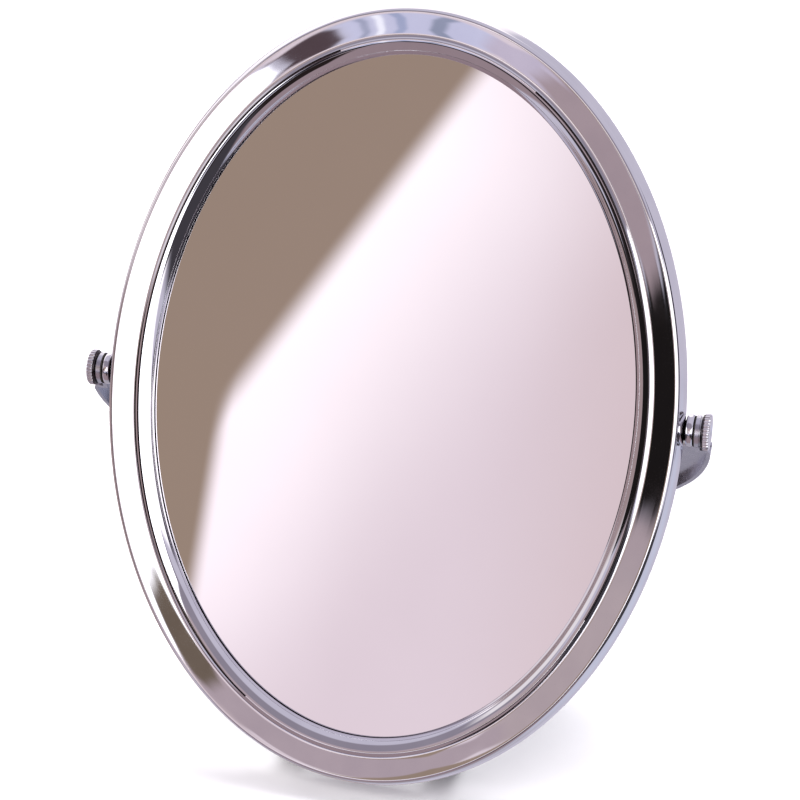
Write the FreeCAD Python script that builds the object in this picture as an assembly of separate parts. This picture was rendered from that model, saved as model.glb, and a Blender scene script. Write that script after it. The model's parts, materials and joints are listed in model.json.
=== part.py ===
import FreeCAD, Part
import math
import os

# Oval countertop mirror: a chrome ring that holds the glass, carried between two
# thumb screws by a pressed easel leg that swings out behind it.
# Millimetres. The head is drawn upright about the pivot axis, facing -Y, and then
# tilted back. The leg is drawn hanging straight down and then swung out behind.
# In every profile, s is the distance in from the rim and y is the depth, front negative.

# --- driving dimensions -------------------------------------------------------
RING_HALF_WIDTH = 114.5
RING_HALF_HEIGHT = 152.5
HEAD_TILT = 21.0             # degrees the glass leans back from upright
LEG_SWING = 30.0             # degrees the leg stands out behind upright

SHEET = 1.2                  # ring wall
RING_BACK = 5.5              # depth of the ring's rear edge

GLASS_INSET = 14.2           # rim to the edge of the glass
GLASS_FRONT = -5.4
GLASS_THICKNESS = 3.0
FOAM_THICKNESS = 1.2
PLATE_THICKNESS = 1.6
LAYER_GAP = 0.05             # between the stacked sheets

COVER_SHEET = 1.0
COVER_EDGE_INSET = 2.8
COVER_STEP_INSET = 14.0
COVER_PAN_INSET = 18.0
COVER_PAN_DEPTH = 4.0        # how far the pan stands behind the flat rim

FIXING_INSET = 8.0           # rim to the line of cover screws
FIXING_COUNT = 8
FIXING_START = 22.5          # degrees round the oval to the first screw
LUG_RADIUS = 3.6
LUG_FRONT = -8.2
SCREW_RADIUS = 1.5
SCREW_HEAD_RADIUS = 3.0
SCREW_HEAD_HEIGHT = 1.8
RUNNING_GAP = 0.06           # radial clearance of a shaft in its hole

SPRING_SPAN = 60.0
SPRING_WIDTH = 12.0
SPRING_SHEET = 0.8
SPRING_X = 46.0
SPRING_Z = 62.0

BUMPER_X = 30.0
BUMPER_Z = -142.0
BUMPER_RADIUS = 6.0
BUMPER_BACK = 24.0           # depth of the bumper's rear face
FOOT_FLAT = 1.2              # rubber cut away so that the feet sit flat on the table

STUD_RADIUS = 2.5
BLOCK_FACE = 110.5           # |x| of the pivot block's outer face
BLOCK_INNER = 102.0
SPIGOT_RADIUS = 4.0
BARREL_START = 114.6
BARREL_END = 117.9
BARREL_RADIUS = 6.3
WASHER_THICKNESS = 0.4
STACK_GAP = 0.1              # face clearance between neighbours on the pivot
EAR_THICKNESS = 1.6
EAR_RADIUS = 6.2
KNOB_RIM_START = 121.4
KNOB_END = 124.0
KNOB_RADIUS = 7.1
KNOB_FLUTES = 36

LEG_SHEET = 1.5
LEG_LIP = 3.2                # how far the turned edge stands in front of the sheet
LEG_OUT = 124.2              # |x| of the leg's outer face below the knob
LEG_TOP = 8.2                # first line of the leg below the pivot
LEG_FOOT_HALF = 42.0
SHOE_THICKNESS = 5.5
SHOE_DEPTH = 12.0            # length of the rubber shoe along the leg
SHOE_FLOOR = 4.0             # rubber below the end of the sheet
SHOE_ROUND = 1.5
SHOE_OVERHANG = 1.5
BRACE_LINE = 104.0           # pivot axis to the middle of the brace
BRACE_WIDTH = 78.0
BRACE_HEIGHT = 16.0
BRACE_DEPTH = 5.0
RIVET_RADIUS = 2.0
RIVET_HEAD_RADIUS = 3.6
RIVET_X = 30.0

# --- worked out ---------------------------------------------------------------
X_AXIS = FreeCAD.Vector(1, 0, 0)
Y_AXIS = FreeCAD.Vector(0, 1, 0)
ORIGIN = FreeCAD.Vector(0, 0, 0)

FOAM_FRONT = GLASS_FRONT + GLASS_THICKNESS + LAYER_GAP
PLATE_FRONT = FOAM_FRONT + FOAM_THICKNESS + LAYER_GAP
PLATE_BACK = PLATE_FRONT + PLATE_THICKNESS
COVER_FRONT = RING_BACK + LAYER_GAP
COVER_BACK = COVER_FRONT + COVER_SHEET
PAN_INNER = COVER_FRONT + COVER_PAN_DEPTH

WASHER_START = BARREL_END + STACK_GAP
EAR_START = WASHER_START + WASHER_THICKNESS + LAYER_GAP
EAR_END = EAR_START + EAR_THICKNESS
SPRING_WASHER_START = EAR_END + LAYER_GAP
KNOB_NECK_START = SPRING_WASHER_START + WASHER_THICKNESS + STACK_GAP

# The tilted head stands on flats cut on the lower rear edges of its bumpers.
TILT = math.radians(HEAD_TILT)
SWING = math.radians(LEG_SWING)
BUMPER_LOW = BUMPER_Z - BUMPER_RADIUS
PIVOT_HEIGHT = BUMPER_BACK * math.sin(TILT) - BUMPER_LOW * math.cos(TILT) - FOOT_FLAT

# The leg is as long as it takes for the front edge of its shoe to have the same flat.
SHOE_FRONT = (LEG_SHEET - SHOE_THICKNESS) / 2
LEG_LENGTH = (PIVOT_HEIGHT + FOOT_FLAT + SHOE_FRONT * math.sin(SWING)) / math.cos(SWING)
SHEET_END = LEG_LENGTH - SHOE_FLOOR


# --- small tools --------------------------------------------------------------
def vec(x, y, z):
    return FreeCAD.Vector(x, y, z)


def oval_point(inset, degrees, depth):
    angle = math.radians(degrees)
    x = (RING_HALF_WIDTH - inset) * math.cos(angle)
    z = (RING_HALF_HEIGHT - inset) * math.sin(angle)
    return vec(x, depth, z)


def oval_wire(inset, depth):
    """An upright oval, inset from the rim, as a closed wire."""
    half_width = RING_HALF_WIDTH - inset
    half_height = RING_HALF_HEIGHT - inset
    top = vec(0, depth, half_height)
    side = vec(half_width, depth, 0)
    curve = Part.Ellipse(top, side, vec(0, depth, 0))
    return Part.Wire([curve.toShape()])


def oval_plate(inset, front, thickness):
    face = Part.Face(oval_wire(inset, front))
    return face.extrude(vec(0, thickness, 0))


def oval_stack(levels):
    """A solid through ovals given as (inset, depth), joined by straight walls."""
    wires = [oval_wire(inset, depth) for inset, depth in levels]
    return Part.makeLoft(wires, True, True)


def section_point(s, y):
    """A profile point in the plane that cuts the ring at its right-hand side."""
    return vec(RING_HALF_WIDTH - s, y, 0)


def line(a, b):
    return Part.LineSegment(section_point(*a), section_point(*b)).toShape()


def arc(a, middle, b):
    return Part.Arc(section_point(*a), section_point(*middle), section_point(*b)).toShape()


def sweep_round_oval(edges):
    """Carry a closed section round the oval, square to the rim all the way."""
    path = oval_wire(0, 0)
    section = Part.Wire(edges)
    sweep = Part.BRepOffsetAPI.MakePipeShell(path)
    sweep.setBiNormalMode(Y_AXIS)
    sweep.add(section)
    sweep.build()
    sweep.makeSolid()
    return sweep.shape()


def rod(radius, x_start, x_end):
    """A round bar on the pivot axis."""
    return Part.makeCylinder(radius, x_end - x_start, vec(x_start, 0, 0), X_AXIS)


def stud_hole(x_start, x_end):
    return rod(STUD_RADIUS + RUNNING_GAP, x_start, x_end)


def turned(points):
    """A solid turned about the pivot axis from (x, radius) points."""
    corners = [vec(x, 0, radius) for x, radius in points]
    outline = Part.makePolygon(corners + [corners[0]])
    return Part.Face(outline).revolve(ORIGIN, X_AXIS, 360)


def mirrored(shape):
    return shape.mirror(ORIGIN, X_AXIS)


def fuse(shapes):
    return shapes[0].fuse(shapes[1:]).removeSplitter()


def group(shapes):
    return Part.makeCompound(shapes)


# --- the head -----------------------------------------------------------------
def front_ring():
    """Pressed ring: rolled rim, dished flange, bead and a lip over the glass."""
    skirt_back = (2.5, RING_BACK)
    widest = (0.0, -3.6)
    wall_front = (1.9, -9.4)
    rim_crest = (3.35, -11.5)
    flange_top = (4.1, -11.4)
    groove_start = (11.2, -9.73)
    groove_end = (13.05, -9.8)
    bead_foot = (13.55, -10.15)
    bead_crest = (14.75, -10.4)
    lip_front = (19.3, -6.2)
    lip_back = (19.1, -5.6)
    bead_inside = (14.4, -9.2)
    groove_inside = (10.9, -8.55)
    flange_inside = (4.5, -10.05)
    wall_inside = (3.0, -9.0)
    widest_inside = (SHEET, -3.6)
    skirt_inside = (2.5 + SHEET, RING_BACK)
    edges = [
        arc(skirt_back, (0.65, 1.2), widest),
        arc(widest, (0.75, -6.5), wall_front),
        arc(wall_front, (2.4, -10.85), rim_crest),
        arc(rim_crest, (3.75, -11.47), flange_top),
        line(flange_top, groove_start),
        arc(groove_start, (12.3, -9.58), groove_end),
        line(groove_end, bead_foot),
        arc(bead_foot, (14.15, -10.47), bead_crest),
        arc(bead_crest, (17.4, -9.1), lip_front),
        line(lip_front, lip_back),
        arc(lip_back, (16.9, -8.2), bead_inside),
        arc(bead_inside, (12.6, -8.4), groove_inside),
        line(groove_inside, flange_inside),
        arc(flange_inside, (3.6, -9.95), wall_inside),
        arc(wall_inside, (1.9, -6.2), widest_inside),
        arc(widest_inside, (1.85, 1.2), skirt_inside),
        line(skirt_inside, skirt_back),
    ]
    ring = sweep_round_oval(edges)
    hole = SPIGOT_RADIUS + RUNNING_GAP
    right = rod(hole, BLOCK_FACE - 1, BARREL_START + 1)
    return ring.cut([right, mirrored(right)])


def glass_gasket():
    """Rubber band round the edge of the glass."""
    outer = oval_plate(GLASS_INSET - 1.2, GLASS_FRONT, GLASS_THICKNESS)
    inner = oval_plate(GLASS_INSET - 0.05, GLASS_FRONT - 1, GLASS_THICKNESS + 2)
    return outer.cut(inner)


def screw_places():
    step = 360.0 / FIXING_COUNT
    return [oval_point(FIXING_INSET, FIXING_START + step * i, 0) for i in range(FIXING_COUNT)]


def along_y(radius, place, front, back):
    return Part.makeCylinder(radius, back - front, vec(place.x, front, place.z), Y_AXIS)


def rear_cover():
    """Pressed cover: a flat rim on the ring's rear edge and a raised pan."""
    slope = 0.6
    outside = oval_stack([(COVER_STEP_INSET, COVER_FRONT), (COVER_STEP_INSET, COVER_BACK),
                          (COVER_PAN_INSET, PAN_INNER + COVER_SHEET)])
    inside = oval_stack([(COVER_STEP_INSET + slope, COVER_FRONT - 1),
                         (COVER_STEP_INSET + slope, COVER_FRONT),
                         (COVER_PAN_INSET + slope, PAN_INNER)])
    rim = oval_plate(COVER_EDGE_INSET, COVER_FRONT, COVER_SHEET)
    cover = fuse([rim, outside]).cut(inside)
    hole = SCREW_RADIUS + RUNNING_GAP
    holes = [along_y(hole, p, COVER_FRONT - 1, COVER_BACK + 1) for p in screw_places()]
    return cover.cut(holes)


def screw_lugs():
    """Round lugs inside the ring that take the cover screws."""
    lugs = []
    for place in screw_places():
        lug = along_y(LUG_RADIUS, place, LUG_FRONT, RING_BACK)
        lugs.append(lug.cut(along_y(SCREW_RADIUS + RUNNING_GAP, place, -2.0, RING_BACK + 1)))
    return group(lugs)


def cover_screws():
    """Pan-head cross-slot screws through the cover's rim."""
    screws = []
    for place in screw_places():
        shank = along_y(SCREW_RADIUS, place, -1.5, COVER_BACK + 0.5)
        head = along_y(SCREW_HEAD_RADIUS, place, COVER_BACK + LAYER_GAP, COVER_BACK + SCREW_HEAD_HEIGHT)
        head = head.makeFillet(0.8, [edge for edge in head.Edges if edge.CenterOfMass.y > COVER_BACK + 1])
        top = COVER_BACK + SCREW_HEAD_HEIGHT
        slots = []
        for width, height in ((3.4, 0.7), (0.7, 3.4)):
            corner = vec(place.x - width / 2, top - 0.9, place.z - height / 2)
            slots.append(Part.makeBox(width, 2, height, corner))
        screws.append(fuse([shank, head]).cut(slots))
    return group(screws)


def pressure_springs():
    """Arched leaf springs that press the glass pack against the lip."""
    rise = PAN_INNER - PLATE_BACK - 2 * LAYER_GAP
    springs = []
    for x in (-SPRING_X, SPRING_X):
        for z in (-SPRING_Z, SPRING_Z):
            low = PLATE_BACK + LAYER_GAP
            half = SPRING_SPAN / 2
            left = vec(x - half, low, z)
            right = vec(x + half, low, z)
            top = vec(x, low + rise - SPRING_SHEET, z)
            step = vec(0, SPRING_SHEET, 0)
            edges = [
                Part.Arc(left, top, right).toShape(),
                Part.LineSegment(right, right + step).toShape(),
                Part.Arc(right + step, top + step, left + step).toShape(),
                Part.LineSegment(left + step, left).toShape(),
            ]
            leaf = Part.Face(Part.Wire(edges)).extrude(vec(0, 0, SPRING_WIDTH))
            springs.append(leaf.translated(vec(0, 0, -SPRING_WIDTH / 2)))
    return group(springs)


def rear_bumpers():
    """Rubber feet behind the lower edge, each with a well for its screw."""
    feet = []
    for x in (-BUMPER_X, BUMPER_X):
        place = vec(x, 0, BUMPER_Z)
        foot = along_y(BUMPER_RADIUS, place, COVER_BACK + LAYER_GAP, BUMPER_BACK)
        well = along_y(3.3, place, BUMPER_BACK - 7, BUMPER_BACK + 1)
        hole = along_y(SCREW_RADIUS + RUNNING_GAP, place, 0, BUMPER_BACK)
        foot = foot.cut([well, hole])
        feet.append(foot)
    return group(feet)


def bumper_screws():
    screws = []
    for x in (-BUMPER_X, BUMPER_X):
        place = vec(x, 0, BUMPER_Z)
        seat = BUMPER_BACK - 7 + LAYER_GAP
        head = along_y(SCREW_HEAD_RADIUS, place, seat, seat + SCREW_HEAD_HEIGHT)
        shank = along_y(SCREW_RADIUS, place, COVER_BACK + LAYER_GAP, seat + 0.5)
        screws.append(fuse([head, shank]))
    return group(screws)


# --- the pivots, drawn on the right-hand side ---------------------------------
def pivot_block():
    """Threaded block behind the ring's wall."""
    width = BLOCK_FACE - BLOCK_INNER
    block = Part.makeBox(width, 8.2, 18, vec(BLOCK_INNER, -3.8, -9))
    block = block.makeFillet(1.0, block.Edges)
    return block.cut(stud_hole(BLOCK_INNER - 1, BLOCK_FACE + 1))


def pivot_spacer():
    """Barrel between the ring and the leg, with a spigot through the ring's wall."""
    barrel = rod(BARREL_RADIUS, BARREL_START, BARREL_END)
    barrel = barrel.makeFillet(1.0, barrel.Edges[:1] + barrel.Edges[2:])
    spigot = rod(SPIGOT_RADIUS, BLOCK_FACE + LAYER_GAP, BARREL_START + 0.5)
    return fuse([barrel, spigot]).cut(stud_hole(BLOCK_FACE, BARREL_END + 1))


def friction_washer():
    washer = rod(BARREL_RADIUS - 0.3, WASHER_START, WASHER_START + WASHER_THICKNESS)
    return washer.cut(stud_hole(WASHER_START - 1, WASHER_START + 2))


def spring_washer():
    start = SPRING_WASHER_START
    washer = rod(BARREL_RADIUS - 0.8, start, start + WASHER_THICKNESS)
    return washer.cut(stud_hole(start - 1, start + 2))


def thumb_knob():
    """Turned knob: tapered neck, fluted rim and a shallow dished face."""
    hole = STUD_RADIUS + 0.01
    knob = turned([
        (KNOB_NECK_START, hole),
        (KNOB_NECK_START, 5.6),
        (KNOB_RIM_START - 0.4, 6.6),
        (KNOB_RIM_START, KNOB_RADIUS - 0.4),
        (KNOB_RIM_START + 0.4, KNOB_RADIUS),
        (KNOB_END - 0.6, KNOB_RADIUS),
        (KNOB_END, KNOB_RADIUS - 0.6),
        (KNOB_END, 5.2),
        (KNOB_END - 0.5, 4.2),
        (KNOB_END - 0.5, 0),
        (KNOB_END - 1.2, 0),
        (KNOB_END - 1.2, hole),
    ])
    flutes = []
    for i in range(KNOB_FLUTES):
        angle = 2 * math.pi * i / KNOB_FLUTES
        centre = vec(KNOB_RIM_START - 1, KNOB_RADIUS * math.cos(angle), KNOB_RADIUS * math.sin(angle))
        flutes.append(Part.makeCylinder(0.38, 6, centre, X_AXIS))
    return knob.cut(flutes)


def pivot_stud():
    return rod(STUD_RADIUS, BLOCK_INNER + 1, KNOB_END - 1.25)


# --- the leg, drawn hanging down from the pivot axis --------------------------
def leg_point(x, w):
    return vec(x, 0, -w)


def smooth_curve(points):
    curve = Part.BSplineCurve()
    curve.interpolate(points)
    return curve


def leg_edge():
    """Outer edge of the leg: straight below the pivot, then a shoulder, then the tongue."""
    corners = [
        (LEG_OUT, LEG_TOP + 2.0),
        (122.6, 19.0),
        (117.0, 30.5),
        (106.5, 41.5),
        (80.0, 64.0),
        (58.0, 94.0),
        (46.5, 130.0),
        (LEG_FOOT_HALF, SHEET_END),
    ]
    return smooth_curve([leg_point(x, w) for x, w in corners])


def parallel(curve, distance, count=16):
    """The same curve moved towards the middle of the leg."""
    first, last = curve.FirstParameter, curve.LastParameter
    points = []
    for i in range(count + 1):
        u = first + (last - first) * i / count
        along = curve.tangent(u)[0]
        points.append(curve.value(u) + vec(along.z, 0, -along.x) * distance)
    return smooth_curve(points)


def prism(edges, front, back):
    """A flat piece of the leg between two depths."""
    face = Part.Face(Part.Wire(Part.sortEdges(edges)[0]))
    return face.extrude(vec(0, back - front, 0)).translated(vec(0, front, 0))


def closed_by(corners):
    """Straight edges through a list of corners."""
    edges = []
    for a, b in zip(corners, corners[1:]):
        edges.append(Part.LineSegment(a, b).toShape())
    return edges


def leg_lip():
    """The edge of the sheet turned forward, from the shelf down to the shoe."""
    outer = leg_edge()
    inner = parallel(outer, LEG_SHEET)
    outer_top, inner_top = outer.StartPoint, inner.StartPoint
    shelf_low = LEG_TOP + LEG_SHEET
    corners = [
        inner_top,
        leg_point(inner_top.x, shelf_low),
        leg_point(EAR_START, shelf_low),
        leg_point(EAR_START, LEG_TOP),
        leg_point(LEG_OUT - 1.2, LEG_TOP),
        outer_top,
    ]
    edges = [outer.toShape(), inner.toShape()]
    edges += closed_by([outer.EndPoint, inner.EndPoint])
    edges += closed_by(corners)
    lip = prism(edges, -LEG_LIP, LEG_SHEET)
    below = Part.makeBox(300, 20, 60, vec(-150, -10, -LEG_LENGTH + SHOE_DEPTH + 0.5 - 60))
    return lip.cut(below)


def leg_ear():
    """Round ear on the pivot, joined down to the turned edge."""
    disc = rod(EAR_RADIUS, EAR_START, EAR_END)
    corner = vec(EAR_START, -LEG_LIP, -LEG_TOP - LEG_SHEET)
    neck = Part.makeBox(EAR_THICKNESS, LEG_LIP + LEG_SHEET, LEG_TOP + LEG_SHEET, corner)
    return fuse([disc, neck]).cut(stud_hole(EAR_START - 1, EAR_END + 1))


def leg_sheet():
    """The flat of the leg: two arms that meet in a tongue."""
    outer = leg_edge()
    crotch = [
        (113.9, LEG_TOP + 0.6),
        (112.7, 14.0),
        (111.2, 19.0),
        (107.6, 24.0),
        (95.0, 34.0),
        (66.0, 57.0),
        (42.0, 80.0),
        (24.0, 90.0),
        (0.0, 93.0),
    ]
    inner = smooth_curve([leg_point(x, w) for x, w in crotch])
    top_out = outer.StartPoint
    edges = [outer.toShape(), inner.toShape()]
    edges += closed_by([inner.StartPoint, leg_point(top_out.x, LEG_TOP + 0.6), top_out])
    edges += closed_by([outer.EndPoint, leg_point(0, SHEET_END), inner.EndPoint])
    right = prism(edges, 0, LEG_SHEET)
    sheet = fuse([right, mirrored(right)])
    holes = [leg_rod(RIVET_RADIUS + RUNNING_GAP, x, -1, LEG_SHEET + 1) for x in (-RIVET_X, RIVET_X)]
    return sheet.cut(holes)


def leg_rod(radius, x, front, back):
    """A round bar square to the leg, on the line of the brace."""
    return Part.makeCylinder(radius, back - front, vec(x, front, -BRACE_LINE), Y_AXIS)


def easel_leg():
    right = [leg_lip(), leg_ear()]
    left = [mirrored(shape) for shape in right]
    return fuse([leg_sheet()] + right + left)


def leg_brace():
    """Shallow channel riveted across the head of the tongue."""
    back = LEG_SHEET + LAYER_GAP
    low = -BRACE_LINE - BRACE_HEIGHT / 2
    outside = Part.makeBox(BRACE_WIDTH, BRACE_DEPTH, BRACE_HEIGHT, vec(-BRACE_WIDTH / 2, back, low))
    outside = outside.makeFillet(1.5, [edge for edge in outside.Edges if edge.CenterOfMass.y > back + 1])
    hollow_height = BRACE_HEIGHT - 2 * SHEET
    corner = vec(-BRACE_WIDTH, back + SHEET, low + SHEET)
    channel = outside.cut(Part.makeBox(2 * BRACE_WIDTH, BRACE_DEPTH, hollow_height, corner))
    holes = [leg_rod(RIVET_RADIUS + RUNNING_GAP, x, 0, BRACE_DEPTH + 3) for x in (-RIVET_X, RIVET_X)]
    return channel.cut(holes)


def brace_rivets():
    """Domed rivets through the sheet and the brace's web."""
    rivets = []
    for x in (-RIVET_X, RIVET_X):
        web_back = LEG_SHEET + LAYER_GAP + SHEET
        shank = leg_rod(RIVET_RADIUS, x, -0.5, web_back + 0.5)
        front = leg_rod(RIVET_HEAD_RADIUS, x, -1.4, -LAYER_GAP)
        back = leg_rod(RIVET_HEAD_RADIUS, x, web_back + LAYER_GAP, web_back + 1.4)
        front = front.makeFillet(1.0, [edge for edge in front.Edges if edge.CenterOfMass.y < -1])
        back = back.makeFillet(1.0, [edge for edge in back.Edges if edge.CenterOfMass.y > web_back + 1])
        rivets.append(fuse([shank, front, back]))
    return group(rivets)


def rubber_shoe():
    """Rubber shoe pushed onto the foot of the leg."""
    half = LEG_FOOT_HALF + SHOE_OVERHANG
    body = Part.makeBox(2 * half, SHOE_THICKNESS, SHOE_DEPTH, vec(-half, SHOE_FRONT, -LEG_LENGTH))
    back = SHOE_FRONT + SHOE_THICKNESS
    rear_edges = [edge for edge in body.Edges if abs(edge.CenterOfMass.y - back) < 0.01]
    body = body.makeFillet(SHOE_ROUND, rear_edges)
    wide = LEG_FOOT_HALF + 0.8
    groove_height = SHOE_DEPTH - SHOE_FLOOR + 1
    corner = vec(-wide, -0.02, -SHEET_END - 0.02)
    groove = Part.makeBox(2 * wide, LEG_SHEET + 0.04, groove_height, corner)
    return body.cut(groove)


# --- assembly -----------------------------------------------------------------
def head_nodes():
    return {
        "front_ring": front_ring(),
        "mirror_glass": oval_plate(GLASS_INSET, GLASS_FRONT, GLASS_THICKNESS),
        "glass_gasket": glass_gasket(),
        "foam_backing": oval_plate(GLASS_INSET, FOAM_FRONT, FOAM_THICKNESS),
        "backing_plate": oval_plate(GLASS_INSET - 1.0, PLATE_FRONT, PLATE_THICKNESS),
        "pressure_springs": pressure_springs(),
        "screw_lugs": screw_lugs(),
        "rear_cover": rear_cover(),
        "cover_screws": cover_screws(),
        "rear_bumpers": rear_bumpers(),
        "bumper_screws": bumper_screws(),
    }


def leg_nodes():
    return {
        "easel_leg": easel_leg(),
        "leg_brace": leg_brace(),
        "brace_rivets": brace_rivets(),
        "rubber_shoe": rubber_shoe(),
    }


def both_sides(nodes):
    """A left and a right copy of each piece drawn on the right."""
    pairs = {}
    for name, shape in nodes.items():
        pairs["right_" + name] = shape
        pairs["left_" + name] = mirrored(shape)
    return pairs


def turned_about_pivot(shape, degrees):
    copy = shape.copy()
    copy.rotate(ORIGIN, X_AXIS, degrees)
    return copy


def flat_on_table(shape):
    """Cut away what would reach below the table."""
    table = Part.makeBox(400, 400, 50, vec(-200, -200, -PIVOT_HEIGHT - 50))
    return shape.cut(table)


def assembly():
    """Every node about the pivot axis, with the head tilted and the leg swung out."""
    head = head_nodes()
    head.update(both_sides({"pivot_block": pivot_block(), "pivot_spacer": pivot_spacer()}))
    head.update(both_sides({"thumb_knob": thumb_knob(), "pivot_stud": pivot_stud()}))
    leg = leg_nodes()
    leg.update(both_sides({"friction_washer": friction_washer(), "spring_washer": spring_washer()}))
    nodes = {}
    for name, shape in head.items():
        nodes[name] = turned_about_pivot(shape, -HEAD_TILT)
    for name, shape in leg.items():
        nodes[name] = turned_about_pivot(shape, LEG_SWING)
    for name in ("rear_bumpers", "rubber_shoe"):
        nodes[name] = flat_on_table(nodes[name])
    return nodes


def main():
    nodes = assembly()
    boxes = [shape.optimalBoundingBox(False) for shape in nodes.values()]
    front = min(box.YMin for box in boxes)
    back = max(box.YMax for box in boxes)
    move = vec(0, -(front + back) / 2, PIVOT_HEIGHT)
    os.makedirs("parts", exist_ok=True)
    for name, shape in nodes.items():
        shape.translated(move).exportStep("parts/" + name + ".step")
    print("pivot axis at y %.3f z %.3f" % (move.y, move.z))
    print("leg length %.3f" % LEG_LENGTH)


main()
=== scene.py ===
import json
import math

import bmesh
import bpy
import numpy as np
from mathutils import Matrix, Vector


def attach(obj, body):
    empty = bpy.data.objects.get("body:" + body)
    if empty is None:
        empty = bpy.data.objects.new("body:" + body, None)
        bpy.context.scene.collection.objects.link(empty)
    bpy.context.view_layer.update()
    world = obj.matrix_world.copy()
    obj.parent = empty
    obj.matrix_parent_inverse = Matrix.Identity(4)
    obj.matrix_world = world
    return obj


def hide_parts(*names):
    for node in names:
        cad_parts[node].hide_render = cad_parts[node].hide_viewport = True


# Looks of an oval countertop mirror: chrome ring, silvered glass, thumb screws and easel leg.
# Metres, in the CAD model's frame. MM turns the drawing sizes below into metres.

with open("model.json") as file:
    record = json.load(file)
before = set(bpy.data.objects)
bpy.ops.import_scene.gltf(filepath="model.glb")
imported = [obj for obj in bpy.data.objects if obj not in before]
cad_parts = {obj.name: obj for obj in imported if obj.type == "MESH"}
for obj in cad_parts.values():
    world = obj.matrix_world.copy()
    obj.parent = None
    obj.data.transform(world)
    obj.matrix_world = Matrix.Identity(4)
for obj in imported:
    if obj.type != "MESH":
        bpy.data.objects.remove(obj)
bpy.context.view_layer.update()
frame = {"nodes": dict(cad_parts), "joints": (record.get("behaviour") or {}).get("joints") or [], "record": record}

MM = 0.001
HINGE = [joint for joint in frame["joints"] if joint["name"] == "easel_hinge"][0]
PIVOT = Vector(HINGE["pos_m"])

HEAD_TILT = math.radians(21.0)
HALF_WIDTH = 114.5
HALF_HEIGHT = 152.5
RIM_DEPTH = -3.6                # depth at which the ring is widest
COVER_DOME_RISE = 0.12          # how far the cover's middle domes out
COVER_CENTRE_RISE = 0.13        # the same at the very centre

BEAD_CREST = (13.4, 14.4)       # insets of the painted dark reflection line on the ring's bead
BEAD_CREST_DEPTH = -9.9
BEAD_PAINTED_LINE_SPANS = ((0.0, 0.17), (0.30, 0.67), (0.91, 1.0))  # shares of a turn that get the painted dark reflection line

KNOB_RIM_START = 121.3          # the knurling lies further out than this
KNOB_RIM_RADIUS = 6.75
# knob faces nearer the ring than KNOB_SHADE_END (the inward cone) get painted shade
KNOB_SHADE_END = 121.7
FLUTES = 28
FLUTE_DEPTH = 0.6
# barrel faces of smaller radius than this (the rounded ends) get painted shade
BARREL_SHADE_RADIUS = 6.0

CORNER_ROUNDING = 0.2           # of the ring's section
SAMPLES_PER_ROUNDING = 4
BLUR_REACH = 8
BLUR_WIDTH = 3.0
SAME_POINT = 1e-6
ROUGHNESS_SPREAD = 0.06

VIEW_AZIMUTH = 13.63            # degrees to the right of the front
VIEW_ELEVATION = 26.22
VIEW_DISTANCE = 1.0
VIEW_LENS = 115.9
VIEW_SHIFT = (0.0111, -0.0006)  # centres the mirror in the frame

BACKDROP_COLOUR = (0.94, 0.94, 0.95, 1)
AMBIENT_COLOUR = (0.60, 0.57, 0.68, 1)

HEAD_PLACE = Matrix.Translation(PIVOT) @ Matrix.Rotation(-HEAD_TILT, 4, "X")


# --- camera -------------------------------------------------------------------
def direction(azimuth, elevation):
    """Unit vector from the object: azimuth 0 is the front, positive to the right."""
    a = math.radians(azimuth)
    e = math.radians(elevation)
    return Vector((math.sin(a) * math.cos(e), -math.cos(a) * math.cos(e), math.sin(e)))


def make_camera():
    target = HEAD_PLACE @ Vector((0, RIM_DEPTH * MM, 0))
    data = bpy.data.cameras.new("camera")
    data.sensor_width = 36.0
    data.lens = VIEW_LENS
    data.shift_x, data.shift_y = VIEW_SHIFT
    camera = bpy.data.objects.new("camera", data)
    away = direction(VIEW_AZIMUTH, VIEW_ELEVATION)
    camera.location = target + away * VIEW_DISTANCE
    camera.rotation_euler = away.to_track_quat("Z", "Y").to_euler()
    bpy.context.scene.collection.objects.link(camera)
    bpy.context.scene.camera = camera


# --- mesh tools ---------------------------------------------------------------
def make_object(name, vertices, faces, place=None, smooth=True):
    mesh = bpy.data.meshes.new(name)
    mesh.from_pydata([tuple(v) for v in vertices], [], faces)
    if place is not None:
        mesh.transform(place)
    shell = bmesh.new()
    shell.from_mesh(mesh)
    bmesh.ops.recalc_face_normals(shell, faces=shell.faces)
    shell.to_mesh(mesh)
    shell.free()
    mesh.polygons.foreach_set("use_smooth", [smooth] * len(mesh.polygons))
    mesh.update()
    piece = bpy.data.objects.new(name, mesh)
    bpy.context.scene.collection.objects.link(piece)
    return piece


def grid_faces(rows, columns, wrap_rows, wrap_columns):
    """Quads of a grid of points stored row by row."""
    faces = []
    for i in range(rows if wrap_rows else rows - 1):
        following = (i + 1) % rows
        for j in range(columns if wrap_columns else columns - 1):
            beside = (j + 1) % columns
            faces.append((i * columns + j, following * columns + j,
                          following * columns + beside, i * columns + beside))
    return faces


def arc_points(a, middle, b, count=14):
    """Points along the circle through three points of a profile."""
    ax, ay = a
    mx, my = middle
    bx, by = b
    d = 2 * (ax * (my - by) + mx * (by - ay) + bx * (ay - my))
    a2, m2, b2 = ax**2 + ay**2, mx**2 + my**2, bx**2 + by**2
    ux = (a2 * (my - by) + m2 * (by - ay) + b2 * (ay - my)) / d
    uy = (a2 * (bx - mx) + m2 * (ax - bx) + b2 * (mx - ax)) / d
    start = math.atan2(ay - uy, ax - ux)
    half = math.atan2(my - uy, mx - ux)
    end = math.atan2(by - uy, bx - ux)
    turn = (end - start) % (2 * math.pi)
    if (half - start) % (2 * math.pi) > turn:
        turn -= 2 * math.pi
    radius = math.hypot(ax - ux, ay - uy)
    steps = [start + turn * i / count for i in range(count + 1)]
    return [(ux + radius * math.cos(s), uy + radius * math.sin(s)) for s in steps]


def without_repeats(points):
    """The points of a profile, leaving out any that repeats the one before it."""
    kept = [points[0]]
    for point in points[1:]:
        if math.dist(point, kept[-1]) > SAME_POINT:
            kept.append(point)
    return kept


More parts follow.
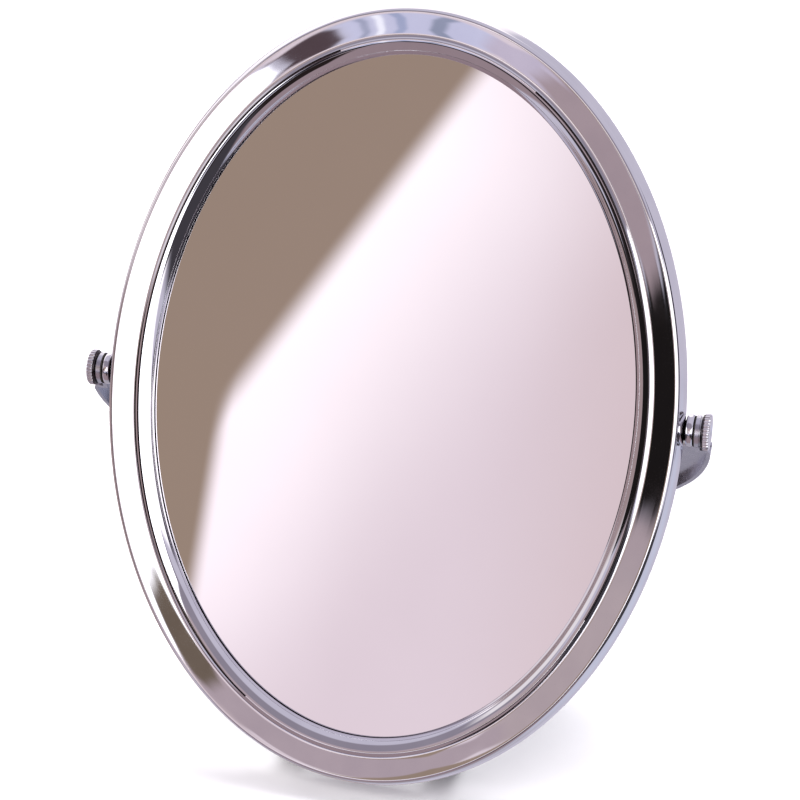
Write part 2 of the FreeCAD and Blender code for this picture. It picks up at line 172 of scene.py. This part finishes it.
def softened(points, rounding, closed=True):
    """A profile with its corners rounded: resampled evenly, blurred, then thinned again."""
    spacing = rounding / SAMPLES_PER_ROUNDING
    outline = np.array(points + ([points[0]] if closed else []), float)
    steps = np.hypot(*np.diff(outline, axis=0).T)
    along = np.concatenate([[0], np.cumsum(steps)])
    count = max(16, int(along[-1] / spacing))
    samples = np.linspace(0, along[-1], count, endpoint=not closed)
    dense = np.stack([np.interp(samples, along, outline[:, k]) for k in range(2)], 1)
    reach = BLUR_REACH
    weights = np.exp(-0.5 * (np.arange(-reach, reach + 1) / BLUR_WIDTH) ** 2)
    weights /= weights.sum()
    if closed:
        padded = np.concatenate([dense[-reach:], dense, dense[:reach]])
    else:
        before = 2 * dense[0] - dense[reach:0:-1]
        after = 2 * dense[-1] - dense[-2:-reach - 2:-1]
        padded = np.concatenate([before, dense, after])
    smooth = np.stack([np.convolve(padded[:, k], weights, "valid") for k in range(2)], 1)
    return thinned(smooth)


def thinned(points, turn_limit=5.0, length_limit=2.0):
    """Keep the points where a profile has turned or run far enough."""
    kept = [0]
    turned, run = 0.0, 0.0
    for i in range(1, len(points) - 1):
        before = points[i] - points[i - 1]
        after = points[i + 1] - points[i]
        cross = before[0] * after[1] - before[1] * after[0]
        turned += abs(math.degrees(math.atan2(cross, float(before @ after))))
        run += float(np.hypot(*before))
        if turned > turn_limit or run > length_limit:
            kept.append(i)
            turned, run = 0.0, 0.0
    kept.append(len(points) - 1)
    return [tuple(points[i]) for i in kept]


def oval_point(turn, inset):
    """(x, z) of the oval's outline at a turn, moved square to it towards the middle."""
    rim = np.array([HALF_WIDTH * math.cos(turn), HALF_HEIGHT * math.sin(turn)])
    outward = np.array([math.cos(turn) / HALF_WIDTH, math.sin(turn) / HALF_HEIGHT])
    return rim - outward / np.hypot(*outward) * inset


def round_the_oval(name, profile, steps=600):
    """Carry a closed profile of (inset, depth) points round the oval, square to the rim."""
    vertices = []
    for i in range(steps):
        t = 2 * math.pi * i / steps
        for inset, depth in profile:
            x, z = oval_point(t, inset)
            vertices.append((x * MM, depth * MM, z * MM))
    faces = grid_faces(steps, len(profile), True, True)
    return make_object(name, vertices, faces, HEAD_PLACE)


def soften_edges(piece, width):
    """Round the sharp edges of a pressed or moulded piece."""
    bevel = piece.modifiers.new("rounded_edges", "BEVEL")
    bevel.width = width * MM
    bevel.segments = 3
    bevel.limit_method = "ANGLE"
    bevel.angle_limit = math.radians(38)
    bevel.harden_normals = True


# --- pieces -------------------------------------------------------------------
def ring_profile():
    """Deep rolled rim, dished flange, low bead and lip, front side first, then back inside."""
    outline = []
    outline += arc_points((2.5, 5.5), (0.65, 1.2), (0.0, -3.6))
    outline += arc_points((0.0, -3.6), (0.75, -6.5), (1.9, -9.4))
    outline += arc_points((1.9, -9.4), (2.4, -10.85), (3.35, -11.5), 20)
    outline += arc_points((3.35, -11.5), (3.75, -11.47), (4.1, -11.4), 6)
    outline += [(7.3, -10.65), (11.2, -9.73)]
    outline += arc_points((11.2, -9.73), (12.25, -9.6), (13.1, -9.88), 16)
    outline += [(13.4, -10.07)]
    outline += arc_points((13.4, -10.07), (13.8, -10.28), (14.2, -10.26), 10)
    outline += arc_points((14.2, -10.26), (17.2, -8.85), (19.3, -6.2), 28)
    outline += [(19.1, -5.6)]
    outline += arc_points((19.1, -5.6), (16.9, -8.2), (14.4, -9.2), 8)
    outline += arc_points((14.4, -9.2), (12.6, -8.4), (10.9, -8.55), 5)
    outline += arc_points((4.5, -10.05), (3.6, -9.95), (3.0, -9.0), 6)
    outline += arc_points((3.0, -9.0), (1.9, -6.2), (1.2, -3.6), 5)
    outline += arc_points((1.2, -3.6), (1.85, 1.2), (3.7, 5.5), 6)
    return softened(without_repeats(outline), CORNER_ROUNDING)


def mark_faces(piece, profile, wanted, material, spans=((0.0, 1.0),)):
    """Give another material to the faces with wanted profile points, over spans of the turn."""
    piece.data.materials.append(material)
    index = len(piece.data.materials) - 1
    count = len(profile)
    steps = len(piece.data.vertices) // count
    for face in piece.data.polygons:
        share = min(face.vertices) // count / steps
        inside = any(low <= share < high for low, high in spans)
        if inside and all(wanted(*profile[v % count]) for v in face.vertices):
            face.material_index = index


def finish_piece(piece, material, node, body):
    """Colour a piece, and let it stand for a CAD node on the body it rides."""
    piece.data.materials.append(material)
    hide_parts(node)
    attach(piece, body)


def make_ring(chrome, painted_reflection_line):
    profile = ring_profile()
    ring = round_the_oval("chrome_ring", profile)
    finish_piece(ring, chrome, "front_ring", "mirror_head")
    # Painted dark reflection: the bead crest gets near-black metal over parts of the turn, standing in for the
    # dark reflected there.
    first, last = BEAD_CREST
    mark_faces(ring, profile, lambda s, y: first <= s <= last and y < BEAD_CREST_DEPTH,
               painted_reflection_line, BEAD_PAINTED_LINE_SPANS)


def oval_slab(name, inset, front, back, steps=288, rings=12):
    """A closed oval plate with its two faces divided into rings."""
    half_width, half_height = HALF_WIDTH - inset, HALF_HEIGHT - inset
    vertices, faces = [], []
    for depth in (front, back):
        first = len(vertices)
        vertices.append((0, depth * MM, 0))
        for r in range(1, rings + 1):
            for i in range(steps):
                t = 2 * math.pi * i / steps
                vertices.append((half_width * r / rings * math.cos(t) * MM, depth * MM,
                                 half_height * r / rings * math.sin(t) * MM))
        flip = depth == front
        for i in range(steps):
            j = (i + 1) % steps
            fan = (first, first + 1 + i, first + 1 + j)
            faces.append(fan if flip else fan[::-1])
            for r in range(rings - 1):
                a = first + 1 + r * steps
                b = a + steps
                quad = (a + i, b + i, b + j, a + j)
                faces.append(quad if flip else quad[::-1])
    outer_front = 1 + (rings - 1) * steps
    outer_back = outer_front + 1 + rings * steps
    for i in range(steps):
        j = (i + 1) % steps
        faces.append((outer_front + i, outer_back + i, outer_back + j, outer_front + j))
    return make_object(name, vertices, faces, HEAD_PLACE, smooth=False)


def make_glass(silver):
    """The silvering, at the depth where the glass in front of it makes it appear."""
    glass = oval_slab("silvered_glass", 14.3, -4.7, -3.8)
    finish_piece(glass, silver, "mirror_glass", "mirror_head")


def turned_piece(name, profile, side, steps=144, shaping=None):
    """A closed (x, radius) profile turned about the pivot axis; shaping changes the radius."""
    vertices = []
    for i in range(steps):
        turn = 2 * math.pi * i / steps
        for x, radius in profile:
            r = radius if shaping is None else shaping(x, radius, turn)
            vertices.append((side * x * MM, r * math.cos(turn) * MM, r * math.sin(turn) * MM))
    faces = grid_faces(steps, len(profile), True, True)
    if side < 0:
        faces = [face[::-1] for face in faces]
    return make_object(name, vertices, faces, HEAD_PLACE)


def knurled(x, radius, turn):
    """Press rounded flutes into the rim of the knob."""
    if radius < KNOB_RIM_RADIUS or x < KNOB_RIM_START:
        return radius
    return radius - FLUTE_DEPTH * (1 - abs(math.cos(turn * FLUTES / 2))) ** 1.5


def make_knobs(chrome, painted_shade):
    profile = [(120.6, 2.6), (120.6, 5.3), (120.72, 5.62)]
    profile += arc_points((120.72, 5.62), (120.85, 6.3), (121.35, 6.72), 6)
    profile += arc_points((121.35, 6.72), (121.62, 7.02), (121.95, 7.1), 5)
    profile += [(122.6, 7.1), (123.3, 7.1)]
    profile += arc_points((123.3, 7.1), (123.8, 6.9), (124.0, 6.4), 5)
    profile += [(124.0, 5.5)]
    profile += arc_points((124.0, 5.3), (123.75, 4.7), (123.5, 4.2), 5)
    profile += [(123.42, 2.0), (123.4, 0.15), (122.8, 0.15), (122.8, 2.6)]
    profile = without_repeats(profile)
    for side, name in ((-1, "left"), (1, "right")):
        knob = turned_piece(name + "_knob_turned", profile, side, 320, knurled)
        finish_piece(knob, chrome, name + "_thumb_knob", name + "_knob")
        # Painted shade: near-black metal on the knob's inward cone, for the dark it reflects.
        mark_faces(knob, profile, lambda x, r: x < KNOB_SHADE_END, painted_shade)


def make_barrels(chrome, painted_shade):
    profile = [(110.6, 2.6), (110.6, 3.95), (114.45, 3.95), (114.6, 4.1), (114.6, 4.7)]
    profile += arc_points((114.6, 4.75), (115.0, 5.85), (115.95, 6.3), 10)
    profile += [(116.5, 6.3)]
    profile += arc_points((116.7, 6.3), (117.55, 5.95), (117.9, 5.1), 10)
    profile += [(117.9, 4.0), (117.9, 2.6)]
    for side, name in ((-1, "left"), (1, "right")):
        barrel = turned_piece(name + "_barrel", profile, side)
        finish_piece(barrel, chrome, name + "_pivot_spacer", "mirror_head")
        # Painted shade: near-black metal on the barrel's rounded ends.
        mark_faces(barrel, profile, lambda x, r: r < BARREL_SHADE_RADIUS, painted_shade)


def make_cover(enamel):
    """Pressed cover: turned edge, flat rim, rounded step and a shallow domed pan."""
    outer = [(2.8, 5.6), (2.8, 6.3)]
    outer += arc_points((2.8, 6.3), (2.9, 6.5), (3.1, 6.56), 4)
    outer += [(8.0, 6.56), (13.0, 6.56)]
    outer += arc_points((13.0, 6.56), (14.1, 6.8), (14.9, 7.45), 8)
    outer += [(16.0, 8.7), (17.0, 9.8)]
    outer += arc_points((17.0, 9.8), (17.8, 10.45), (19.0, 10.66), 8)
    outer += [(24.0, 10.72), (32.0, 10.8), (40.0, 10.86)]
    inner = [(40.0, 9.7), (24.0, 9.6), (19.2, 9.6), (17.6, 8.8)]
    inner += [(15.6, 6.5), (14.6, 5.6), (8.0, 5.6)]
    steps = 288
    outline = without_repeats(outer)
    vertices, faces = [], []

    def add_rows(profile, closing):
        rows = []
        for inset, depth in profile:
            row = len(vertices)
            for i in range(steps):
                t = 2 * math.pi * i / steps
                x, z = oval_point(t, inset)
                vertices.append((x * MM, depth * MM, z * MM))
            rows.append(row)
        last_depth = profile[-1 if closing else 0][1]
        edge_row = rows[-1 if closing else 0]
        edge = vertices[edge_row:edge_row + steps]
        for share in (0.75, 0.5, 0.25):
            row = len(vertices)
            depth = last_depth + (1 - share) * COVER_DOME_RISE
            vertices.extend((x * share, depth * MM, z * share) for x, _, z in edge)
            if closing:
                rows.append(row)
            else:
                rows.insert(0, row)
        centre = len(vertices)
        vertices.append((0, (last_depth + COVER_CENTRE_RISE) * MM, 0))
        return rows, centre

    back_rows, back_centre = add_rows(outline, True)
    front_rows, front_centre = add_rows(inner, False)
    for rows in (back_rows, front_rows, [front_rows[-1], back_rows[0]]):
        for a, b in zip(rows, rows[1:]):
            for i in range(steps):
                j = (i + 1) % steps
                faces.append((a + i, b + i, b + j, a + j))
    for i in range(steps):
        j = (i + 1) % steps
        faces.append((back_rows[-1] + i, back_centre, back_rows[-1] + j))
        faces.append((front_rows[0] + j, front_centre, front_rows[0] + i))
    cover = make_object("pressed_cover", vertices, faces, HEAD_PLACE)
    finish_piece(cover, enamel, "rear_cover", "mirror_head")


# --- materials ----------------------------------------------------------------
def new_material(name):
    material = bpy.data.materials.new(name)
    material.use_nodes = True
    tree = material.node_tree
    shader = tree.nodes["Principled BSDF"]
    return material, tree, shader


def add_node(tree, kind, **values):
    node = tree.nodes.new(kind)
    for key, value in values.items():
        if hasattr(node, key):
            setattr(node, key, value)
        else:
            node.inputs[key].default_value = value
    return node


def noise(tree, scale, detail=3.0, stretch=(1, 1, 1)):
    place = add_node(tree, "ShaderNodeTexCoord")
    mapping = add_node(tree, "ShaderNodeMapping")
    mapping.inputs["Scale"].default_value = stretch
    texture = add_node(tree, "ShaderNodeTexNoise")
    texture.inputs["Scale"].default_value = scale
    texture.inputs["Detail"].default_value = detail
    tree.links.new(place.outputs["Object"], mapping.inputs["Vector"])
    tree.links.new(mapping.outputs["Vector"], texture.inputs["Vector"])
    return texture.outputs["Fac"]


def spread(tree, value, low, high):
    """Map the middle of a noise onto a range."""
    node = add_node(tree, "ShaderNodeMapRange")
    node.inputs["From Min"].default_value = 0.3
    node.inputs["From Max"].default_value = 0.7
    node.inputs["To Min"].default_value = low
    node.inputs["To Max"].default_value = high
    tree.links.new(value, node.inputs["Value"])
    return node.outputs["Result"]


def two_tones(tree, value, dark, light):
    ramp = add_node(tree, "ShaderNodeValToRGB")
    ramp.color_ramp.elements[0].position = 0.35
    ramp.color_ramp.elements[0].color = (*dark, 1)
    ramp.color_ramp.elements[1].position = 0.65
    ramp.color_ramp.elements[1].color = (*light, 1)
    tree.links.new(value, ramp.inputs["Fac"])
    return ramp.outputs["Color"]


def bumped(tree, shader, value, strength, distance):
    bump = add_node(tree, "ShaderNodeBump")
    bump.inputs["Strength"].default_value = strength
    bump.inputs["Distance"].default_value = distance
    tree.links.new(value, bump.inputs["Height"])
    tree.links.new(bump.outputs["Normal"], shader.inputs["Normal"])


def metal(name, dark, light, rough_low, rough_high, grain=60.0, stretch=(1, 1, 1)):
    material, tree, shader = new_material(name)
    shader.inputs["Metallic"].default_value = 1.0
    cloud = noise(tree, grain, 4.0, stretch)
    tree.links.new(two_tones(tree, cloud, dark, light), shader.inputs["Base Color"])
    tree.links.new(spread(tree, cloud, rough_low, rough_high), shader.inputs["Roughness"])
    return material, tree, shader


def chrome_material():
    dark, light = (0.80, 0.79, 0.83), (0.86, 0.85, 0.88)
    material, tree, shader = metal("polished_chrome", dark, light, 0.02, 0.05)
    bumped(tree, shader, noise(tree, 35.0, 2.0), 0.04, 0.0004)
    return material


def silver_material():
    dark, light = (0.895, 0.865, 0.895), (0.905, 0.875, 0.905)
    return metal("silvering", dark, light, 0.0, 0.004, 25.0)[0]


def simple_material(name, dark, light, roughness, grain, bump=0.2):
    material, tree, shader = new_material(name)
    cloud = noise(tree, grain, 5.0)
    tree.links.new(two_tones(tree, cloud, dark, light), shader.inputs["Base Color"])
    rough = spread(tree, cloud, roughness - ROUGHNESS_SPREAD, roughness + ROUGHNESS_SPREAD)
    tree.links.new(rough, shader.inputs["Roughness"])
    bumped(tree, shader, noise(tree, grain * 6, 3.0), bump, 0.0002)
    return material


# --- studio -------------------------------------------------------------------
def world_tree():
    world = bpy.data.worlds.new("studio")
    bpy.context.scene.world = world
    world.use_nodes = True
    return world.node_tree


def math_node(tree, operation, a, b=None):
    node = tree.nodes.new("ShaderNodeMath")
    node.operation = operation
    for socket, value in zip(node.inputs, (a, b)):
        if value is None:
            continue
        if isinstance(value, (int, float)):
            socket.default_value = value
        else:
            tree.links.new(value, socket)
    return node.outputs[0]


def dot_with(tree, vector, constant):
    node = tree.nodes.new("ShaderNodeVectorMath")
    node.operation = "DOT_PRODUCT"
    tree.links.new(vector, node.inputs[0])
    node.inputs[1].default_value = constant
    return node.outputs["Value"]


def edge_mask(tree, value, half, soft):
    """1 inside +-half, fading to 0 over soft."""
    size = math_node(tree, "ABSOLUTE", value)
    node = tree.nodes.new("ShaderNodeMapRange")
    node.interpolation_type = "SMOOTHSTEP"
    node.inputs["From Min"].default_value = half - soft / 2
    node.inputs["From Max"].default_value = half + soft / 2
    node.inputs["To Min"].default_value = 1.0
    node.inputs["To Max"].default_value = 0.0
    tree.links.new(size, node.inputs["Value"])
    return node.outputs["Result"]


def panel(tree, base, view, azimuth, elevation, width, height, roll, soft, colour):
    """A soft-edged rectangle of light in the surroundings, sizes in degrees."""
    centre = direction(azimuth, elevation)
    right = Vector((math.cos(math.radians(azimuth)), math.sin(math.radians(azimuth)), 0))
    up = right.cross(-centre)
    turn = math.radians(roll)
    across = right * math.cos(turn) + up * math.sin(turn)
    along = up * math.cos(turn) - right * math.sin(turn)
    forward = dot_with(tree, view, centre)
    ahead = math_node(tree, "MAXIMUM", forward, 0.02)
    u = math_node(tree, "DIVIDE", dot_with(tree, view, across), ahead)
    v = math_node(tree, "DIVIDE", dot_with(tree, view, along), ahead)
    blur = math.tan(math.radians(soft))
    mask = math_node(tree, "MULTIPLY",
                     edge_mask(tree, u, math.tan(math.radians(width / 2)), blur),
                     edge_mask(tree, v, math.tan(math.radians(height / 2)), blur))
    mask = math_node(tree, "MULTIPLY", mask, math_node(tree, "GREATER_THAN", forward, 0.03))
    mix = tree.nodes.new("ShaderNodeMix")
    mix.data_type = "RGBA"
    mix.clamp_result = False
    mix.clamp_factor = True
    tree.links.new(mask, mix.inputs["Factor"])
    tree.links.new(base, mix.inputs[6])
    mix.inputs[7].default_value = (*colour, 1)
    return mix.outputs[2]


def make_studio():
    tree = world_tree()
    view = tree.nodes.new("ShaderNodeTexCoord").outputs["Generated"]
    plain = tree.nodes.new("ShaderNodeRGB")
    plain.outputs[0].default_value = AMBIENT_COLOUR
    light = plain.outputs[0]
    for entry in SURROUNDINGS:
        light = panel(tree, light, view, *entry)
    background = tree.nodes["Background"]
    tree.links.new(light, background.inputs["Color"])
    background.inputs["Strength"].default_value = 1.0
    seen = tree.nodes.new("ShaderNodeBackground")
    seen.inputs["Color"].default_value = BACKDROP_COLOUR
    choose = tree.nodes.new("ShaderNodeMixShader")
    camera_ray = tree.nodes.new("ShaderNodeLightPath").outputs["Is Camera Ray"]
    tree.links.new(camera_ray, choose.inputs[0])
    tree.links.new(background.outputs[0], choose.inputs[1])
    tree.links.new(seen.outputs[0], choose.inputs[2])
    tree.links.new(choose.outputs[0], tree.nodes["World Output"].inputs["Surface"])


# azimuth, elevation, width, height, roll, softness, colour
SURROUNDINGS = [
    (0, -89, 60, 60, 0, 20, (0.42, 0.40, 0.46)),  # straight down
    (-140, 20, 84, 52, 0, 10, (1.3, 1.22, 1.26)),  # bright back left
    (-80, 2, 40, 64, 0, 8, (0.39, 0.295, 0.30)),  # brown left wall
    (-130, -32, 90, 40, 0, 10, (0.42, 0.32, 0.32)),
    (101, 0, 42, 46, 0, 6, (0.045, 0.04, 0.06)),  # dark right wall
    (5, -42, 92, 60, 0, 8, (0.33, 0.25, 0.275)),  # table below
    (100, -40, 60, 50, 0, 20, (0.62, 0.64, 0.78)),
    (-12, 54, 110, 46, 0, 10, (0.30, 0.27, 0.33)),  # wall above
    (-12, 30, 56, 18, 0, 5, (0.48, 0.39, 0.43)),  # brown pink wall
    (-70, 26, 22, 30, 0, 8, (0.9, 0.85, 0.88)),
    (-36, 19, 16, 10, 0, 1.5, (0.46, 0.37, 0.40)),
    (-46.2, 4, 30, 21, 0, 1.2, (0.012, 0.010, 0.010)),  # black card
    (-29, 11.6, 8, 5.6, 0, 1, (0.012, 0.010, 0.010)),
    (-32, -7, 44, 7, -10, 2, (0.03, 0.022, 0.024)),
    (-60, -12, 10, 12, 0, 3, (0.02, 0.016, 0.015)),
    (-24, 1.5, 19, 13, 0, 1.2, (0.42, 0.33, 0.36)),
    (-30, 20.3, 9, 9.5, 0, 1.5, (0.50, 0.41, 0.43)),
    (-21.5, -0.5, 6, 7, 0, 2, (0.62, 0.55, 0.68)),
    (-16, -10.5, 60, 4, 0, 2, (0.03, 0.022, 0.026)),  # dark strip
    (-12, -3, 15, 9, 0, 2, (0.66, 0.66, 0.86)),  # blue white streaks
    (-14.5, -3, 1.6, 8, 12, 0.8, (0.34, 0.37, 0.50)),
    (-10.5, -3, 1.0, 8, -6, 0.5, (0.42, 0.46, 0.66)),
    (-8.2, -3, 0.8, 8, 4, 0.5, (1.1, 1.1, 1.2)),
    (-6.6, -3, 0.8, 8, 4, 0.5, (0.38, 0.40, 0.55)),
    (60, 12, 50, 27, 0, 4, (1.5, 1.45, 1.5)),
    (22, -14, 38, 24, 42, 3, (0.02, 0.014, 0.014)),
    (24.3, 17, 51.5, 26, 14, 1.6, (2.6, 2.6, 2.7)),  # softbox
    (-1.8, 0, 4.6, 8, 0, 1.0, (0.09, 0.06, 0.07)),
    (5, -3.5, 26, 7, 42, 1.5, (0.012, 0.012, 0.015)),
    (57, -20, 72, 24, -20, 5, (0.055, 0.05, 0.06)),
    (6, 25.6, 7, 5, -30, 1.5, (0.17, 0.13, 0.10)),
    (-12.5, 15, 22, 28, 9, 1.5, (0.82, 0.71, 0.77)),  # the part the glass shows
    (-5.0, 17, 7, 20, 0, 5, (0.73, 0.605, 0.63)),
    (-14.3, 17.4, 4.2, 14, -27, 7.5, (1.30, 1.22, 1.26)),
    (-16.8, 11.4, 3.4, 6, 0, 5, (1.22, 1.12, 1.18)),
    (-19.75, 21.0, 12, 19, -26, 0.7, (0.345, 0.262, 0.207)),
    (-19.4, 10.9, 6, 8.6, 1.5, 0.5, (0.345, 0.262, 0.205)),
    (-15, 33, 26, 7, 0, 0.8, (0.48, 0.39, 0.43)),
]


def make_floor():
    size, count = 6.0, 24
    vertices = []
    for i in range(count + 1):
        for j in range(count + 1):
            vertices.append((size * (i / count - 0.5), size * (j / count - 0.5), -0.0005))
    faces = grid_faces(count + 1, count + 1, False, False)
    floor = make_object("floor", vertices, faces)
    paper = simple_material("floor_paper", (0.90, 0.90, 0.91), (0.93, 0.93, 0.94), 0.7, 20.0, 0.05)
    floor.data.materials.append(paper)
    floor.visible_glossy = False


def area_light(name, place, target, size, power, colour):
    data = bpy.data.lights.new(name, "AREA")
    data.shape = "DISK"
    data.size = size
    data.energy = power
    data.color = colour
    lamp = bpy.data.objects.new(name, data)
    lamp.location = place
    aim = Vector(place) - Vector(target)
    lamp.rotation_euler = aim.to_track_quat("Z", "Y").to_euler()
    lamp.visible_glossy = False
    bpy.context.scene.collection.objects.link(lamp)


def make_lights():
    area_light("top_light", (0.2, 0.9, 2.2), (0, 0, 0.1), 1.8, 55, (1, 1, 1))
    area_light("front_fill", (-0.7, -1.6, 1.5), (0, 0, 0), 1.8, 34, (1, 0.99, 0.96))


# --- build --------------------------------------------------------------------
make_camera()
make_studio()
make_floor()
make_lights()

chrome = chrome_material()
silver = silver_material()
rubber = simple_material("moulded_rubber", (0.020, 0.020, 0.022), (0.035, 0.035, 0.037),
                         0.62, 90.0)
enamel = simple_material("satin_enamel", (0.045, 0.047, 0.052), (0.055, 0.057, 0.062), 0.38, 40.0)
zinc = metal("zinc_plate", (0.50, 0.51, 0.54), (0.66, 0.67, 0.70), 0.22, 0.36, 300.0)[0]
steel = metal("rolled_steel", (0.44, 0.45, 0.47), (0.58, 0.59, 0.61),
              0.25, 0.40, 80.0, (1, 12, 1))[0]
fibre = simple_material("dark_fibre", (0.020, 0.017, 0.015), (0.040, 0.034, 0.030), 0.80, 400.0)
# Painted shade: near-black chrome standing in for the dark that the knobs' inward cones and the barrels' rounded
# ends reflect.
painted_shade = metal("chrome_with_painted_dark", (0.05, 0.042, 0.046), (0.08, 0.068, 0.074),
              0.06, 0.12, 60.0)[0]
satin = metal("satin_chrome", (0.60, 0.60, 0.66), (0.70, 0.70, 0.76), 0.20, 0.32, 220.0)[0]
# Painted dark reflection: near-black metal for the line on the ring's bead.
painted_reflection_line = metal("painted_dark_reflection_line", (0.03, 0.025, 0.028), (0.05, 0.042, 0.045),
                0.10, 0.20, 90.0)[0]
foam = simple_material("grey_foam", (0.20, 0.20, 0.21), (0.28, 0.28, 0.29), 0.90, 500.0)

SLOT_MATERIALS = {
    "chrome_trim": chrome,
    "leg_plate": satin,
    "mirror_silver": silver,
    "rubber_black": rubber,
    "cover_paint": enamel,
    "fastener_zinc": zinc,
    "plate_steel": steel,
    "fibre_washer": fibre,
    "foam_grey": foam,
}
for part in frame["record"]["subparts"]:
    node = frame["nodes"][part["node"]]
    node.data.materials.clear()
    node.data.materials.append(SLOT_MATERIALS[part["material_slot"]])

EDGE_ROUNDING = {"easel_leg": 0.45, "leg_brace": 0.5, "rubber_shoe": 0.4, "backing_plate": 0.2}
for name, width in EDGE_ROUNDING.items():
    soften_edges(frame["nodes"][name], width)

make_ring(chrome, painted_reflection_line)
make_glass(silver)
make_knobs(chrome, painted_shade)
make_barrels(chrome, painted_shade)
make_cover(enamel)

bpy.context.scene.view_settings.view_transform = "Standard"
